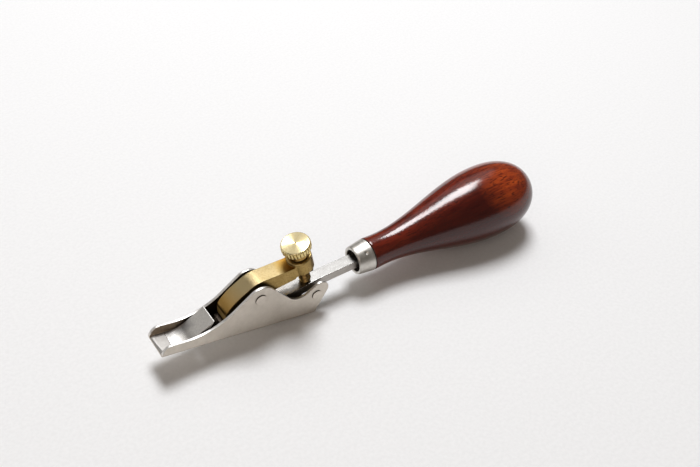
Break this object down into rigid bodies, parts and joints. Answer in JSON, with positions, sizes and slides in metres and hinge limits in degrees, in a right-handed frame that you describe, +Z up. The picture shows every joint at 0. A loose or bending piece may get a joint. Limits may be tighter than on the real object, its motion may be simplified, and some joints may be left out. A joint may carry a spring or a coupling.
{
  "type": "blind nailer",
  "caption": "Palm-sized blind nailing plane: a folded steel channel with a bevel-up chisel, a brass lever cap with a knurled thumbscrew, and a turned wooden handle behind a metal ferrule.",
  "frame": {"origin": "centre of the tool's bounding box at the level of the surface on which it lies, resting on the heel of its sole and the belly of its handle", "axes": "+X from the toe of the sole towards the butt of the handle, +Y across the tool, +Z up from that surface"},
  "size_m": [0.1456, 0.026, 0.03],
  "materials": {
    "channel_steel": "satin, slightly worn",
    "block_steel": "finely grained",
    "pin_steel": "riveted and dressed flush",
    "chisel_steel": "polished top, dull sides",
    "cap_brass": "cast and filed, satin",
    "screw_brass": "turned, straight knurl",
    "ferrule_nickel": "bright satin plating",
    "handle_wood": "stained red-brown, glossy varnish"
  },
  "bodies": {
    "channel": {"frame": "channel_steel", "toe_block": "block_steel", "lever_pin": "pin_steel", "bed_pin": "pin_steel"},
    "cap": {"lever_cap": "cap_brass"},
    "stem": {"screw_stem": "screw_brass"},
    "knob": {"screw_head": "screw_brass"},
    "chisel": {"blade": "chisel_steel", "ferrule": "ferrule_nickel", "handle": "handle_wood"}
  },
  "joints": [
    {"name": "screw_travel", "type": "slide", "parent": "cap", "child": "stem", "axis": [-0.2199, 0, 0.9755], "range_m": [0, 0.0021]},
    {"name": "screw_turn", "type": "hinge", "parent": "stem", "child": "knob", "pos_m": [-0.02228, 0, 0.02011], "axis": [-0.2199, 0, 0.9755], "range_deg": [0, 1081]},
    {"name": "lever_rock", "type": "hinge", "parent": "channel", "child": "cap", "pos_m": [-0.03935, 0, 0.01626], "axis": [0, 1, 0], "range_deg": [0, 6.9]},
    {"name": "blade_slide", "type": "slide", "parent": "channel", "child": "chisel", "axis": [0.999, 0, 0.0445], "range_m": [-0.002, 0.025]}
  ],
  "couplings": [
    {"joint": "screw_turn", "follows": "screw_travel", "rad_per_m": 8976},
    {"joint": "lever_rock", "follows": "screw_travel", "rad_per_m": 57.143}
  ]
}
